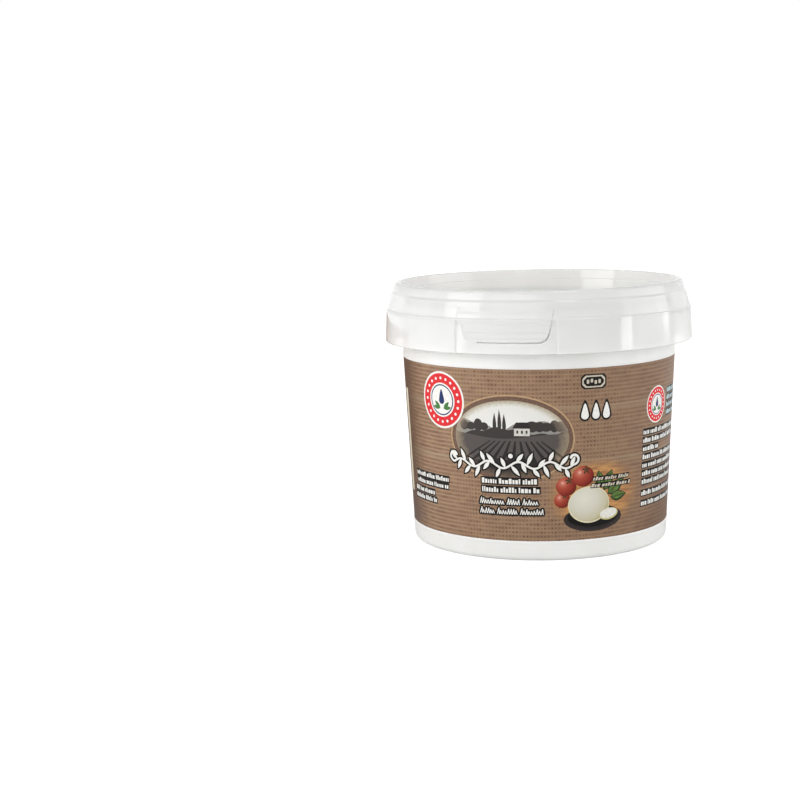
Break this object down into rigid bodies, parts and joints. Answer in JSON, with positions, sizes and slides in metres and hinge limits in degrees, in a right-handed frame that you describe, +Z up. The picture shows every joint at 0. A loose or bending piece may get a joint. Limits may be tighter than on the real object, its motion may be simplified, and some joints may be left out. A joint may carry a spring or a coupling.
{
  "type": "cheese tub",
  "caption": "Shut round plastic tub that holds a mozzarella ball in brine: tapered white pot, brown printed label, translucent tamper-evident snap lid with a sunk top.",
  "frame": {"origin": "middle of the foot, on the plane that the tub stands on", "axes": "+Z up along the tub's own axis, the tear-open tab and the label's picture towards -Y, +X to the right seen from the front"},
  "size_m": [0.0946, 0.0943, 0.0799],
  "materials": {
    "pot_polypropylene": "satin white, injection-moulded",
    "label_print": "printed film moulded into the wall, satin",
    "lid_polypropylene": "natural translucent, soft gloss"
  },
  "bodies": {
    "root": {"tub": "pot_polypropylene", "label": "label_print", "lid": "lid_polypropylene"}
  },
  "joints": []
}
